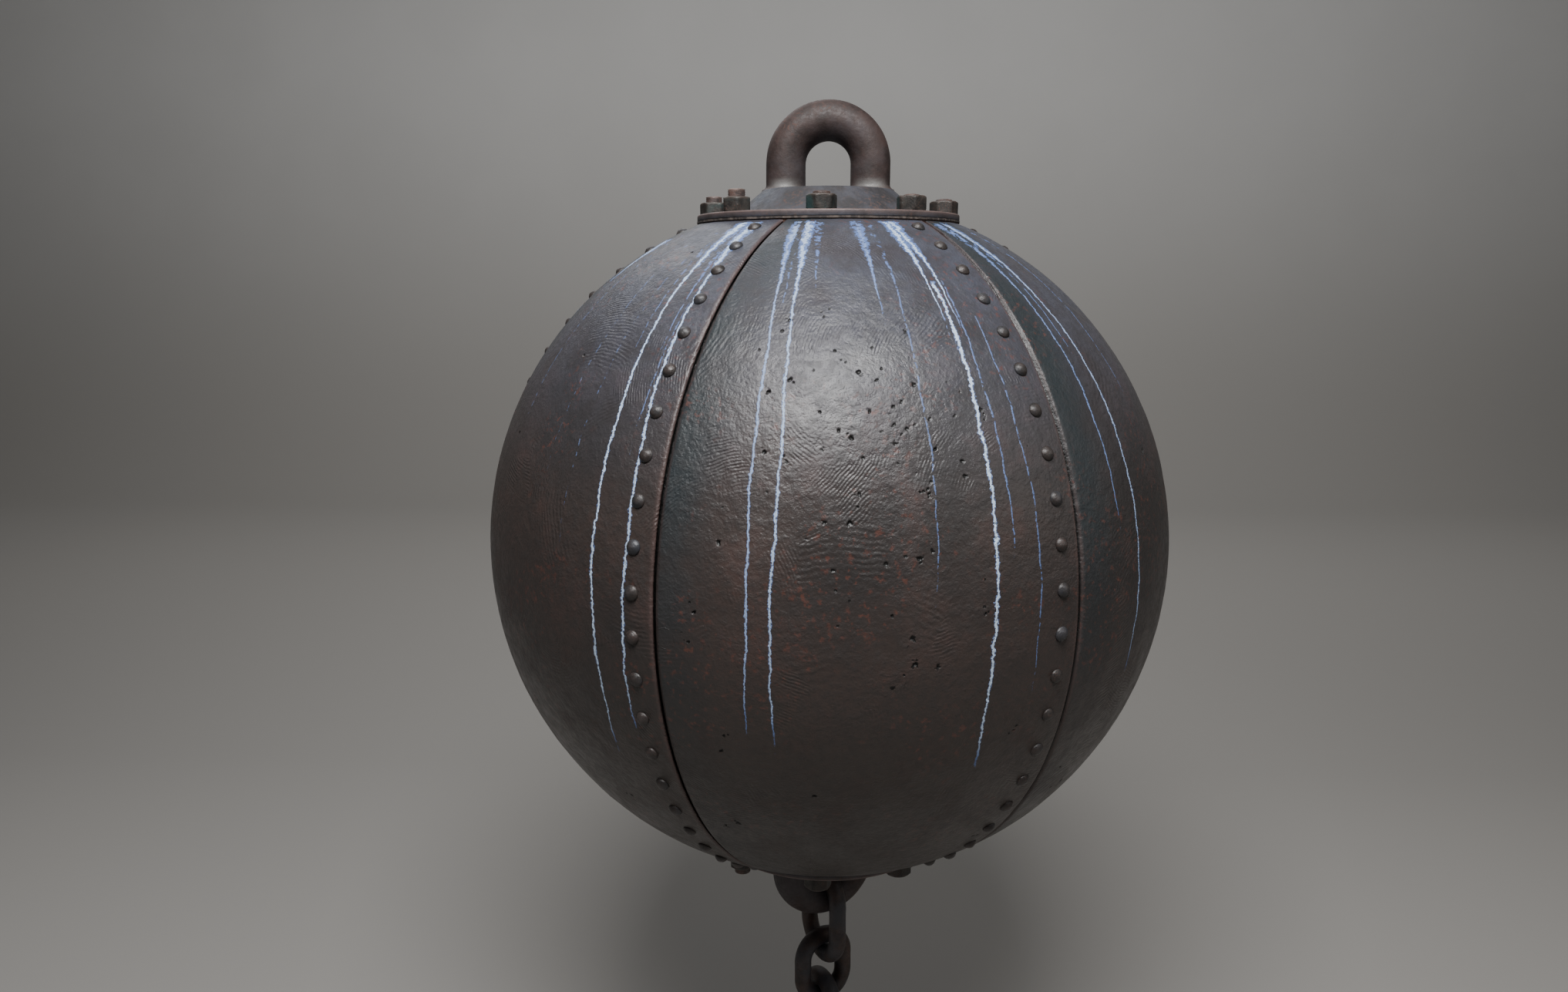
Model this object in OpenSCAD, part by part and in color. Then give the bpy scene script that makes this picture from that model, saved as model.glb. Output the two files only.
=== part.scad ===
// Riveted steel ball buoy: six lapped shell plates, a bolted cover with an
// eye at each pole, and a short chain hanging from the lower eye.
// The origin is the crown of the upper eye's hole, where a hook bears.
// +Z is up, the upper eye spans X, and lengths are millimetres.

/* [Shell] */
// Radius of the ball over its plates
ball_r = 500; // [460:10:560]
// Thickness of a shell plate
plate_t = 8; // [6:0.5:10]
// Bearing of the first riveted seam, from +X
seam_turn = 243.5; // [0:0.5:359.5]
// From the rivet line to the edge of the upper plate
edge_gap = 28; // [20:1:34]
// Width of the caulking groove beside that edge
groove_w = 5; // [3:0.5:8]

/* [Rivets] */
// Latitude of the top rivet of a seam
rivet_top = 64.8; // [64:0.1:65]
// Angle between neighbouring rivets of a seam
rivet_pitch = 6.1; // [5.6:0.05:7]
// Diameter of a rivet's shank
rivet_d = 11; // [8:0.5:12]
// Diameter of a rivet's snap head
head_d = 18.5; // [15:0.5:20]
// Height of a rivet's snap head
head_h = 6.5; // [4:0.5:8]

/* [Covers] */
// Diameter of a cover over its rim
cover_d = 380; // [372:1:388]
// Thickness of a cover
cover_t = 9; // [8:0.5:12]
// Height of a cover's crown above its rim
crown_h = 36; // [24:1:38]
// Diameter of the flat on a cover's crown
crown_d = 200; // [198:1:204]
// Thickness of the gasket
gasket_t = 2.6; // [2:0.2:4]
// Studs in each cover
studs = 8; // [6:1:10]
// Diameter of the stud circle
stud_circle_d = 334; // [330:1:338]
// Diameter of a stud
stud_d = 24; // [16:1:24]
// Size of a nut across its flats
nut_af = 36; // [30:1:38]
// Height of a nut
nut_h = 20; // [16:1:24]

/* [Eyes] */
// Diameter of an eye's bar
eye_bar_d = 58; // [50:1:58]
// Half of the distance between an eye's legs, at their centres
eye_half = 61; // [60:1:62]
// Straight length of an eye's leg above the cover
eye_leg = 36; // [25:1:50]
// Turn of the lower eye from the upper one
lower_eye_turn = 30; // [0:1:90]

/* [Chain] */
// Diameter of the chain's bar
link_d = 28; // [24:1:30]
// Inner width of the first, larger link
end_link_w = 64; // [62:1:70]
// Inner length of the first, larger link
end_link_l = 118; // [100:1:140]
// Inner width of a chain link
link_w = 48; // [40:1:56]
// Inner length of a chain link
link_l = 80; // [76:1:100]

/* [Hidden] */
BALL_CURVE = 180;         // facets of a ball's curve
CURVE = 72;               // facets of any other curve
plates = 6;               // plates around the ball
links = 3;                // chain links below the end link
seam_rivets = 1 + floor(2 * rivet_top / rivet_pitch); // rivets in a seam
FIT = 0.05;               // radial room of a shank or stud in its hole
SLIP = 0.1;               // room between plates that lie on each other
in_r = ball_r - plate_t;  // inner face of the upper plate of a lap
lap_r = in_r - plate_t;   // inner face of the lower plate of a lap
lap_in = 24;              // how far a tongue runs past its rivets
joggle_w = 12;            // width of the step between plate and tongue
hole_r = 188;             // radius of the hole between the plates' ends
seat_in_r = 150;          // inner radius of a seat ring
skirt_r = 236;            // outer radius of a seat ring's skirt
tongue_r = 240;           // a tongue stops here, clear of the skirt
seat_z = sqrt(ball_r * ball_r - hole_r * hole_r) + 0.2;
seat_h = 32;              // depth of a seat ring under its face
cover_z = seat_z + gasket_t;
rim_z = cover_z + cover_t;
crown_z = rim_z + crown_h;
stud_r = stud_circle_d / 2;
stud_turn = 87.1;         // bearing of the studs, from the front
stud_depth = 24;          // stud length inside its seat ring
eye_r = eye_bar_d / 2;
bend_z = crown_z + eye_leg;
foot_r = eye_r + 8;       // radius of an eye's flared foot
shank_r = 18;             // radius of an eye's threaded shank
back_l = 176;             // plate behind a crown: length, width, thickness
back_w = 64;
back_t = 12;
eye_nut_h = 29;
eye_nut_af = 55;
ball_z = -(bend_z + eye_half - eye_r);
link_r = link_d / 2;
rest_gap = 0.3;           // room where a link hangs in the one above
hang_z = ball_z + link_r + rest_gap; // end link's upper bar, from the centre
chain_turn = 90 + lower_eye_turn;
stud_rise = [3, 5, 8, 6, 9, 11, 4, 2]; // thread above each nut

// ---- frames ----

// Everything that is measured from the centre of the ball
module at_ball() {
    translate([0, 0, ball_z]) children();
}

// The same piece at the lower pole
module at_foot() {
    at_ball() mirror([0, 0, 1]) children();
}

// A radial direction: bearing from +X, latitude from the equator
module aim(bearing, latitude) {
    rotate([0, 90 - latitude, bearing]) children();
}

function rivet_lat(i) = rivet_top - i * rivet_pitch;
function seam_bearing(k) = seam_turn + k * 360 / plates;
function end_lat(end) = end > 0 ? rivet_top : -rivet_lat(seam_rivets - 1);

// ---- shell ----

module ball(r) {
    sphere(r = r, $fn = BALL_CURVE);
}

// A drum round the axis that frees both poles up to radius r
module pole_holes(r) {
    cylinder(r = r, h = 3 * ball_r, center = true, $fn = CURVE);
}

// A strip of space beside the rivet line along +X
module strip(low_y, high_y) {
    translate([0, low_y, -ball_r - 1])
        cube([ball_r + 1, high_y - low_y, 2 * ball_r + 2]);
}

// The wedge between one groove and the covering edge of the next seam
module wedge() {
    turn = 360 / plates;
    near_y = edge_gap + groove_w;
    near_x = (near_y * cos(turn) - edge_gap) / sin(turn);
    far = 3 * ball_r;
    linear_extrude(height = 2 * ball_r + 2, center = true)
        polygon([
            [near_x, near_y],
            [near_x + far, near_y],
            [near_x + far, near_y + far],
            [near_x + far * cos(turn), near_y + far * sin(turn)]
        ]);
}

// Outer plate and, a plate's thickness deeper, the tongue under the last one
module plate_blank() {
    intersection() {
        ball(ball_r);
        wedge();
    }
    intersection() {
        ball(in_r - SLIP);
        strip(-lap_in, edge_gap + groove_w + 1);
    }
}

// The room inside a plate: deeper behind the tongue and its joggle
module plate_room() {
    ball(lap_r);
    intersection() {
        ball(in_r);
        union() {
            strip(edge_gap + groove_w + joggle_w, 2 * ball_r);
            pole_holes(tongue_r);
        }
    }
    pole_holes(hole_r);
}

module rivet_holes() {
    for (i = [0 : seam_rivets - 1])
        aim(0, rivet_lat(i)) translate([0, 0, lap_r - 4])
            cylinder(r = rivet_d / 2 + FIT, h = 3 * plate_t, $fn = CURVE);
}

// One plate: its far margin covers the next plate's tongue
module shell_plate(k) {
    color([0.20, 0.17, 0.16]) at_ball() rotate([0, 0, seam_bearing(k)])
        difference() {
            plate_blank();
            plate_room();
            rivet_holes();
            rotate([0, 0, 360 / plates]) rivet_holes();
        }
}

// ---- rivets ----

// A closing head: a low dome of radius r and height h, standing on z = 0
module snap_head(r, h) {
    dome = (r * r + h * h) / (2 * h);
    intersection() {
        translate([0, 0, h - dome]) sphere(r = dome, $fn = CURVE);
        cylinder(r = r, h = h + 1, $fn = CURVE);
    }
}

module seam_rivet() {
    translate([0, 0, ball_r + SLIP]) snap_head(head_d / 2, head_h);
    translate([0, 0, lap_r - 2])
        cylinder(r = rivet_d / 2, h = 2 * plate_t + 3, $fn = CURVE);
    translate([0, 0, lap_r - 2 * SLIP]) mirror([0, 0, 1])
        snap_head(head_d / 2 - 1, head_h - 1.5);
}

module seam_rivet_row(k) {
    color([0.24, 0.20, 0.18]) at_ball()
        for (i = [0 : seam_rivets - 1])
            aim(seam_bearing(k), rivet_lat(i)) seam_rivet();
}

// ---- covers ----

module at_studs() {
    for (i = [0 : studs - 1])
        rotate([0, 0, stud_turn - 90 + i * 360 / studs])
            translate([stud_r, 0, 0]) children();
}

module stud_holes(r) {
    at_studs() translate([0, 0, seat_z - stud_depth - 1])
        cylinder(r = r, h = stud_depth + cover_t + 2 * nut_h, $fn = CURVE);
}

// The ring the cover seats on; its skirt is welded inside the plates' ends
module seat_ring(end) {
    color([0.26, 0.22, 0.20]) difference() {
        union() {
            translate([0, 0, seat_z - seat_h])
                cylinder(r = hole_r - 0.2, h = seat_h, $fn = CURVE);
            difference() {
                intersection() {
                    ball(in_r - SLIP);
                    cylinder(r = skirt_r, h = seat_z - 1, $fn = CURVE);
                }
                ball(lap_r);
            }
        }
        cylinder(r = seat_in_r, h = ball_r, $fn = CURVE);
        stud_holes(stud_d / 2 + FIT);
        for (k = [0 : plates - 1])
            aim(seam_bearing(k), end_lat(end)) translate([0, 0, lap_r - 4])
                cylinder(r = rivet_d / 2 + FIT, h = 2 * plate_t, $fn = CURVE);
    }
}

module gasket() {
    color([0.10, 0.09, 0.09]) difference() {
        translate([0, 0, seat_z])
            cylinder(r = hole_r + 2, h = gasket_t, $fn = CURVE);
        translate([0, 0, seat_z - 1])
            cylinder(r = seat_in_r, h = gasket_t + 2, $fn = CURVE);
        stud_holes(stud_d / 2 + 1);
    }
}

// A pressed hat: flat rim, conical side and flat crown of even thickness
module cover(eye_turn) {
    side = crown_h;
    pinch = cover_t * tan(22.5);
    color([0.27, 0.25, 0.26]) difference() {
        rotate_extrude($fn = CURVE) polygon([
            [0, crown_z - cover_t],
            [crown_d / 2 - pinch, crown_z - cover_t],
            [crown_d / 2 - pinch + side, cover_z],
            [cover_d / 2, cover_z],
            [cover_d / 2, rim_z - 2.5],
            [cover_d / 2 - 2.5, rim_z],
            [crown_d / 2 + side, rim_z],
            [crown_d / 2, crown_z],
            [0, crown_z]
        ]);
        stud_holes(stud_d / 2 + 1);
        rotate([0, 0, eye_turn]) for (s = [-1, 1])
            translate([s * eye_half, 0, crown_z - cover_t - 1])
                cylinder(r = shank_r + FIT, h = cover_t + 2, $fn = CURVE);
    }
}

module cover_studs() {
    color([0.36, 0.30, 0.27]) for (i = [0 : studs - 1])
        rotate([0, 0, stud_turn - 90 + i * 360 / studs])
            translate([stud_r, 0, seat_z - stud_depth])
            cylinder(r = stud_d / 2, $fn = CURVE,
                h = stud_depth + gasket_t + cover_t + nut_h
                    + stud_rise[i % len(stud_rise)]);
}

// A hexagon nut with its upper corners taken off, standing on z = 0
module nut(af, h, bore) {
    face_r = 0.48 * af;
    difference() {
        intersection() {
            cylinder(r = af / cos(30) / 2, h = h, $fn = 6);
            cylinder(r1 = face_r + h * tan(60), r2 = face_r, h = h,
                     $fn = CURVE);
        }
        translate([0, 0, -1]) cylinder(r = bore, h = h + 2, $fn = CURVE);
    }
}

module cover_nuts() {
    color([0.21, 0.22, 0.20]) for (i = [0 : studs - 1])
        rotate([0, 0, stud_turn - 90 + i * 360 / studs])
            translate([stud_r, 0, rim_z]) rotate([0, 0, i * 47])
            nut(nut_af, nut_h, stud_d / 2 + FIT);
}

// ---- eyes ----

// A leg's flared foot: a quarter-round cove from the bar to the crown
module eye_foot() {
    cove = foot_r - eye_r;
    difference() {
        cylinder(r = foot_r, h = cove, $fn = CURVE);
        rotate_extrude($fn = CURVE)
            translate([foot_r, cove]) circle(r = cove, $fn = CURVE);
    }
}

module eye() {
    color([0.25, 0.19, 0.18]) {
        intersection() {
            translate([0, 0, bend_z]) rotate([90, 0, 0])
                rotate_extrude($fn = CURVE) translate([eye_half, 0])
                circle(r = eye_r, $fn = CURVE);
            translate([-ball_r, -ball_r, bend_z])
                cube([2 * ball_r, 2 * ball_r, ball_r]);
        }
        for (s = [-1, 1]) translate([s * eye_half, 0, 0]) {
            translate([0, 0, crown_z])
                cylinder(r = eye_r, h = eye_leg, $fn = CURVE);
            translate([0, 0, crown_z]) eye_foot();
            translate([0, 0, crown_z - cover_t - back_t - eye_nut_h - 6])
                cylinder(r = shank_r, $fn = CURVE,
                         h = cover_t + back_t + eye_nut_h + 7);
        }
    }
}

module backing_plate() {
    back_z = crown_z - cover_t - back_t;
    color([0.22, 0.20, 0.19]) difference() {
        translate([-back_l / 2, -back_w / 2, back_z])
            cube([back_l, back_w, back_t]);
        for (s = [-1, 1]) translate([s * eye_half, 0, back_z - 1])
            cylinder(r = shank_r + FIT, h = back_t + 2, $fn = CURVE);
    }
}

module eye_nuts() {
    color([0.22, 0.20, 0.19]) for (s = [-1, 1])
        translate([s * eye_half, 0, crown_z - cover_t - back_t])
            mirror([0, 0, 1]) nut(eye_nut_af, eye_nut_h, shank_r + FIT);
}

// ---- chain ----

// A link in the XZ plane; z = 0 is the centre of its upper bar
module link(inner_w, inner_l) {
    half = inner_w / 2 + link_r;
    run = inner_l + link_d - 2 * half;
    color([0.17, 0.13, 0.12]) translate([0, 0, -half]) {
        for (end = [0, 1]) translate([0, 0, -end * run])
            mirror([0, 0, end]) intersection() {
                rotate([90, 0, 0]) rotate_extrude($fn = CURVE)
                    translate([half, 0]) circle(r = link_r, $fn = CURVE);
                translate([-100, -100, 0]) cube(200);
            }
        for (s = [-1, 1]) translate([s * half, 0, -run])
            cylinder(r = link_r, h = run, $fn = CURVE);
    }
}

module end_link() {
    translate([0, 0, ball_z + hang_z]) rotate([0, 0, chain_turn])
        link(end_link_w, end_link_l);
}

module chain_link(i) {
    first_z = ball_z + hang_z - end_link_l + rest_gap;
    translate([0, 0, first_z - (i - 1) * (link_l - rest_gap)])
        rotate([0, 0, chain_turn + 90 * i]) link(link_w, link_l);
}

// ---- assembly ----

for (k = [1 : plates]) {
    shell_plate(k - 1);
    seam_rivet_row(k - 1);
}
at_ball() seat_ring(1);  // top_seat_ring
at_ball() gasket();  // top_gasket
at_ball() cover(0);  // top_cover
at_ball() cover_studs();  // top_studs
at_ball() cover_nuts();  // top_nuts
at_ball() eye();  // lifting_eye
at_ball() backing_plate();  // top_backing_plate
at_ball() eye_nuts();  // lifting_eye_nuts
at_foot() seat_ring(-1);  // bottom_seat_ring
at_foot() gasket();  // bottom_gasket
at_foot() cover(lower_eye_turn);  // bottom_cover
at_foot() cover_studs();  // bottom_studs
at_foot() cover_nuts();  // bottom_nuts
at_foot() rotate([0, 0, lower_eye_turn]) eye();  // mooring_eye
at_foot() rotate([0, 0, lower_eye_turn]) backing_plate();  // bottom_backing_plate
at_foot() rotate([0, 0, lower_eye_turn]) eye_nuts();  // mooring_eye_nuts
end_link();
for (i = [1 : links])
    chain_link(i);
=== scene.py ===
import math
import random

import bmesh
import bpy
import numpy as np
from mathutils import Matrix, Vector, kdtree, noise


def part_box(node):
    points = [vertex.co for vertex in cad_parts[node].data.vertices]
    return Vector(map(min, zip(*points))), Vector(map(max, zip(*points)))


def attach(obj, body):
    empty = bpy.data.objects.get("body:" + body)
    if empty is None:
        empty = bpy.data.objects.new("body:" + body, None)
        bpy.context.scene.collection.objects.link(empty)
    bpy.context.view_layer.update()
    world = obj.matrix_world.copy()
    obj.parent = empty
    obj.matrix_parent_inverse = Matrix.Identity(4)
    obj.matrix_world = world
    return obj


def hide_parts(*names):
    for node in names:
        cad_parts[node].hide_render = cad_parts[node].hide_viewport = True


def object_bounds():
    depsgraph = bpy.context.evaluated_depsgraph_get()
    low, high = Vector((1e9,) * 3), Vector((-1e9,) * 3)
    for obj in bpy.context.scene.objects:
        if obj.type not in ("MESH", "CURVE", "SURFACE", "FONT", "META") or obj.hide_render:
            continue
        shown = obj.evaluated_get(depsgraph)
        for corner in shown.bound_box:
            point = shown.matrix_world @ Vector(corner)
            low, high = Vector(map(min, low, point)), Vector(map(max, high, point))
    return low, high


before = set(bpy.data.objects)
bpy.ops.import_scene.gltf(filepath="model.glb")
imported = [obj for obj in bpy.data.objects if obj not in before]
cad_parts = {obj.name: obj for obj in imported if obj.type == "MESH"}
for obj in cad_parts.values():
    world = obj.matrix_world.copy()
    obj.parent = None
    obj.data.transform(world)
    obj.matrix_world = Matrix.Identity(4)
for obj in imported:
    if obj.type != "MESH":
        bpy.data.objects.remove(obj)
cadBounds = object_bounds()

mm = 0.001
random.seed(7)

topCrown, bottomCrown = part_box("top_cover")[1].z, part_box("bottom_cover")[0].z
ballCentre = Vector((0, 0, (topCrown + bottomCrown) / 2))
crownHeight = topCrown - ballCentre.z   # from the ball's centre to a cover's crown
shellRadius = 0.5


def smoothStep(low, high, value):
    t = np.clip((value - low) / (high - low), 0, 1)
    return t * t * (3 - 2 * t)


def direction(bearing, latitude):   # bearing from +X, both in degrees
    turn, rise = math.radians(bearing), math.radians(latitude)
    return Vector((math.cos(rise) * math.cos(turn), math.cos(rise) * math.sin(turn), math.sin(rise)))


def makePiece(name, bm, material, slot, body, *nodes):
    bm.normal_update()
    mesh = bpy.data.meshes.new(name)
    bm.to_mesh(mesh)
    bm.free()
    mesh.materials.append(material)
    mesh.shade_smooth()
    piece = bpy.data.objects.new(name, mesh)
    bpy.context.scene.collection.objects.link(piece)
    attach(piece, body)
    if nodes:
        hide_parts(*nodes)
    return piece


def merge(bm, distance=0.00001):
    bmesh.ops.remove_doubles(bm, verts=bm.verts, dist=distance)
    bmesh.ops.recalc_face_normals(bm, faces=bm.faces)


def lathe(bm, profile, steps):   # profile is (radius, height) pairs, turned round +Z
    ring = [bm.verts.new((r, 0, h)) for r, h in profile]
    edges = [bm.edges.new(pair) for pair in zip(ring, ring[1:])]
    bmesh.ops.spin(bm, geom=ring + edges, cent=(0, 0, 0), axis=(0, 0, 1),
                   angle=math.tau, steps=steps, use_merge=True)


def arc(centreR, centreH, radius, start, end, count):   # points along a round profile corner
    turn = [math.radians(start + (end - start) * i / count) for i in range(count + 1)]
    return [(centreR + radius * math.cos(t), centreH + radius * math.sin(t)) for t in turn]


def extrudeRing(bm, edges, move):
    made = bmesh.ops.extrude_edge_only(bm, edges=edges)["geom"]
    verts = [g for g in made if isinstance(g, bmesh.types.BMVert)]
    for vert in verts:
        vert.co = move(vert.co)
    return verts, [g for g in made if isinstance(g, bmesh.types.BMEdge)]


def addShape(bm, one, matrix):   # puts a placed copy of one shape into bm
    one.transform(matrix)
    data = bpy.data.meshes.new("one")
    one.to_mesh(data)
    one.free()
    bm.from_mesh(data)
    bpy.data.meshes.remove(data)


def atPole(bm, lower):   # from the ball's centre frame to its place at one pole
    if lower:
        bmesh.ops.scale(bm, vec=(1, 1, -1), verts=bm.verts)
        bmesh.ops.reverse_faces(bm, faces=bm.faces)
    bmesh.ops.translate(bm, vec=ballCentre, verts=bm.verts)


def srgb(r, g, b):
    def linear(c):
        c /= 255
        return c / 12.92 if c <= 0.04045 else ((c + 0.055) / 1.055) ** 2.4
    return (linear(r), linear(g), linear(b), 1)


def startMaterial(name, metallic=0.0):
    material = bpy.data.materials.new(name)
    material.use_nodes = True
    tree = material.node_tree
    shader = tree.nodes["Principled BSDF"]
    shader.inputs["Metallic"].default_value = metallic
    shader.inputs["IOR"].default_value = 1.5
    return material, tree, shader


def put(tree, kind, inputs=None, **settings):
    made = tree.nodes.new("ShaderNode" + kind)
    for key, value in settings.items():
        setattr(made, key, value)
    for key, value in (inputs or {}).items():
        if isinstance(value, bpy.types.NodeSocket):
            tree.links.new(value, made.inputs[key])
        else:
            made.inputs[key].default_value = value
    return made


def calc(tree, operation, *values):
    return put(tree, "Math", dict(enumerate(values)), operation=operation).outputs[0]


def fade(tree, value, low, high, start=0.0, end=1.0):
    return put(tree, "MapRange", {"Value": value, "From Min": low, "From Max": high,
                                  "To Min": start, "To Max": end},
               interpolation_type="SMOOTHSTEP").outputs[0]


def blendColour(tree, factor, first, second):
    return put(tree, "Mix", {0: factor, 6: first, 7: second}, data_type="RGBA").outputs[2]


def grain(tree, where, scale, detail=4.0, roughness=0.55, distortion=0.0):
    return put(tree, "TexNoise", {"Vector": where, "Scale": scale, "Detail": detail,
                                  "Roughness": roughness, "Distortion": distortion}).outputs[0]


def placed(tree, offset=(0, 0, 0)):
    where = put(tree, "TexCoord").outputs["Object"]
    return put(tree, "Mapping", {"Vector": where, "Location": offset}).outputs[0]


def attribute(tree, name):
    return put(tree, "Attribute", attribute_name=name)


def bumpOf(tree, shader, *layers):   # layers are (height socket, strength, distance in metres)
    normal = None
    for height, strength, distance in layers:
        inputs = {"Height": height, "Strength": strength, "Distance": distance}
        if normal:
            inputs["Normal"] = normal
        normal = put(tree, "Bump", inputs).outputs[0]
    tree.links.new(normal, shader.inputs["Normal"])


def arcs(tree, where, cellScale, tightness):   # patches of fine scratches, each patch round its own point
    cells = put(tree, "TexVoronoi", {"Vector": where, "Scale": cellScale})

    def combine(operation, first, second):
        return put(tree, "VectorMath", {0: first, 1: second}, operation=operation).outputs[0]

    aside = combine("ADD", cells.outputs["Color"], (-0.5, -0.5, -0.5))
    aside = put(tree, "VectorMath", {0: aside, "Scale": 0.4}, operation="SCALE").outputs[0]
    away = combine("SUBTRACT", combine("SUBTRACT", where, aside), cells.outputs["Position"])
    reach = put(tree, "VectorMath", {0: away}, operation="LENGTH").outputs["Value"]
    waver = calc(tree, "MULTIPLY", grain(tree, where, 30, 3), 14)
    phase = calc(tree, "ADD", calc(tree, "MULTIPLY", reach, tightness), waver)
    return calc(tree, "MULTIPLY", calc(tree, "SINE", phase), grain(tree, where, 120, 2))


shellLook = {
    "brown": srgb(60, 51, 48), "black": srgb(42, 41, 41), "red": srgb(70, 53, 49),
    # the low brown is painted shade for the ball's lower part
    "blueGrey": srgb(65, 67, 77), "low": srgb(44, 34, 27), "patina": srgb(36, 42, 45),
    # the edge colour is worn coating and also a painted highlight on the rounded plate edges
    # the near-black serves as the pits' dark and as painted shadow in the lap grooves
    "rust": srgb(106, 62, 51), "pitAndGrooveShade": srgb(10, 9, 8), "edge": srgb(76, 60, 57),
    "runWhite": srgb(182, 200, 220), "runBlue": srgb(90, 114, 166), "roughness": 0.4,
    "ringPlace": (-21.4, -1.7), "ringRadius": 0.0125,
}


def shellCoating():
    material, tree, shader = startMaterial("shellCoating")
    look = shellLook
    where = placed(tree, offset=-ballCentre)
    height = put(tree, "SeparateXYZ", {"Vector": where}).outputs["Z"]
    wide = grain(tree, where, 3.2, 5, 0.6)
    middle = grain(tree, where, 17, 5, 0.6)
    fine = grain(tree, where, 95, 4, 0.6)
    tiny = grain(tree, where, 310, 3, 0.6)
    colour = blendColour(tree, fade(tree, wide, 0.36, 0.66, 0, 0.75), look["brown"], look["black"])
    colour = blendColour(tree, fade(tree, middle, 0.5, 0.7, 0, 0.55), colour, look["red"])
    upper = calc(tree, "MULTIPLY", fade(tree, height, 0.1, 0.44), fade(tree, middle, 0.3, 0.6, 0.5, 1))
    colour = blendColour(tree, upper, colour, look["blueGrey"])
    # painted shade: the ball's lower part is darkened and warmed in the base colour, standing in for the
    # shade and the warm bounce light under it
    colour = blendColour(tree, fade(tree, height, 0.05, -0.42, 0, 0.8), colour, look["low"])

    # dark blue-green patina in the lee of each lap, strongest above
    marks = put(tree, "SeparateXYZ", {"Vector": attribute(tree, "marks").outputs["Vector"]})
    lee, pitAndGrooveShade, wornAndSheen = marks.outputs["X"], marks.outputs["Y"], marks.outputs["Z"]
    broken = fade(tree, calc(tree, "ADD", middle, wide), 0.7, 1.1, 0.35, 1)
    patches = calc(tree, "MULTIPLY", fade(tree, lee, 0, 0.8), broken)
    patches = calc(tree, "MULTIPLY", patches, fade(tree, height, -0.3, 0.25, 0.35, 1))
    colour = blendColour(tree, patches, colour, look["patina"])

    speckle = calc(tree, "MULTIPLY", fade(tree, grain(tree, where, 130, 4), 0.55, 0.68),
                   fade(tree, grain(tree, where, 7, 2), 0.46, 0.62))
    colour = blendColour(tree, calc(tree, "MULTIPLY", speckle, 0.5), colour, look["rust"])
    colour = blendColour(tree, fade(tree, fine, 0.35, 0.7, 0.0, 0.4), colour, look["black"])
    # edge wear and painted highlight: the rounded plate edges and the groove lips are painted paler
    colour = blendColour(tree, calc(tree, "MULTIPLY", wornAndSheen, fade(tree, middle, 0.3, 0.6, 0.4, 1)),
                         colour, look["edge"])
    # near-black: painted shadow on the tongue floor of each lap groove, and dark oxide with painted shade
    # in the pits
    colour = blendColour(tree, fade(tree, pitAndGrooveShade, 0.1, 0.7), colour, look["pitAndGrooveShade"])

    # run marks: x is the offset from a run's middle in half widths, z how strong it is
    run = put(tree, "SeparateXYZ", {"Vector": attribute(tree, "run").outputs["Vector"]})
    strong = run.outputs["Z"]
    washed = fade(tree, run.outputs["Y"], 44, 66)   # wide and hazy close under the cover
    wobble = calc(tree, "MULTIPLY", calc(tree, "SUBTRACT", grain(tree, where, 105, 3), 0.5), 4.6)
    jagged = calc(tree, "MULTIPLY", calc(tree, "SUBTRACT", grain(tree, where, 340, 3), 0.5), 3.4)
    ragged = calc(tree, "ADD", calc(tree, "ABSOLUTE", calc(tree, "ADD", run.outputs["X"], wobble)), jagged)
    whole = calc(tree, "ADD", calc(tree, "MULTIPLY", strong, 0.75), grain(tree, where, 120, 3))
    whole = fade(tree, calc(tree, "SUBTRACT", whole, calc(tree, "MULTIPLY", washed, 0.16)), 0.64, 0.86)
    core = calc(tree, "MULTIPLY", fade(tree, ragged, 1.0, 0.55), whole)
    spread = calc(tree, "SUBTRACT", ragged, calc(tree, "MULTIPLY", washed, 1.1))
    halo = calc(tree, "MULTIPLY", fade(tree, spread, 1.5, 0.7), fade(tree, whole, 0, 0.6))
    halo = calc(tree, "MULTIPLY", halo, fade(tree, strong, 0, 0.5, 0, 0.85))
    colour = blendColour(tree, halo, colour, look["runBlue"])
    colour = blendColour(tree, calc(tree, "MULTIPLY", core, fade(tree, strong, 0.42, 1.0, 0.05, 1)),
                         colour, look["runWhite"])
    tree.links.new(colour, shader.inputs["Base Color"])

    rough = calc(tree, "ADD", calc(tree, "MULTIPLY", middle, 0.6), calc(tree, "MULTIPLY", fine, 0.5))
    rough = fade(tree, rough, 0.38, 0.75, look["roughness"] - 0.07, look["roughness"] + 0.12)
    rough = calc(tree, "ADD", rough, calc(tree, "MULTIPLY", core, 0.2))
    rough = calc(tree, "ADD", rough, calc(tree, "MULTIPLY", patches, 0.05))
    tree.links.new(rough, shader.inputs["Roughness"])

    # a struck ring, broken where the coating has worn off
    place = direction(270 + look["ringPlace"][0], look["ringPlace"][1]) * shellRadius
    reach = put(tree, "VectorMath", {0: where, 1: place}, operation="DISTANCE").outputs["Value"]
    ring = calc(tree, "ABSOLUTE", calc(tree, "SUBTRACT", reach, look["ringRadius"]))
    ring = calc(tree, "MULTIPLY", fade(tree, ring, 0.0009, 0.0002), fade(tree, fine, 0.35, 0.55))
    scratched = fade(tree, grain(tree, where, 10, 2), 0.5, 0.64)
    swirl = calc(tree, "MULTIPLY", arcs(tree, where, 6.5, 1650), scratched)
    creased = fade(tree, middle, 0.42, 0.6, 0.3, 1)
    crease = calc(tree, "MULTIPLY", grain(tree, where, 190, 4, 0.65, 0.6), creased)
    bumpOf(tree, shader, (middle, 0.35, 0.004), (fine, 0.6, 0.0018), (swirl, 0.55, 0.0006),
           (crease, 0.6, 0.0012), (tiny, 0.75, 0.0007), (ring, 0.6, 0.0006), (core, 0.5, 0.0006))
    return material


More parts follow.
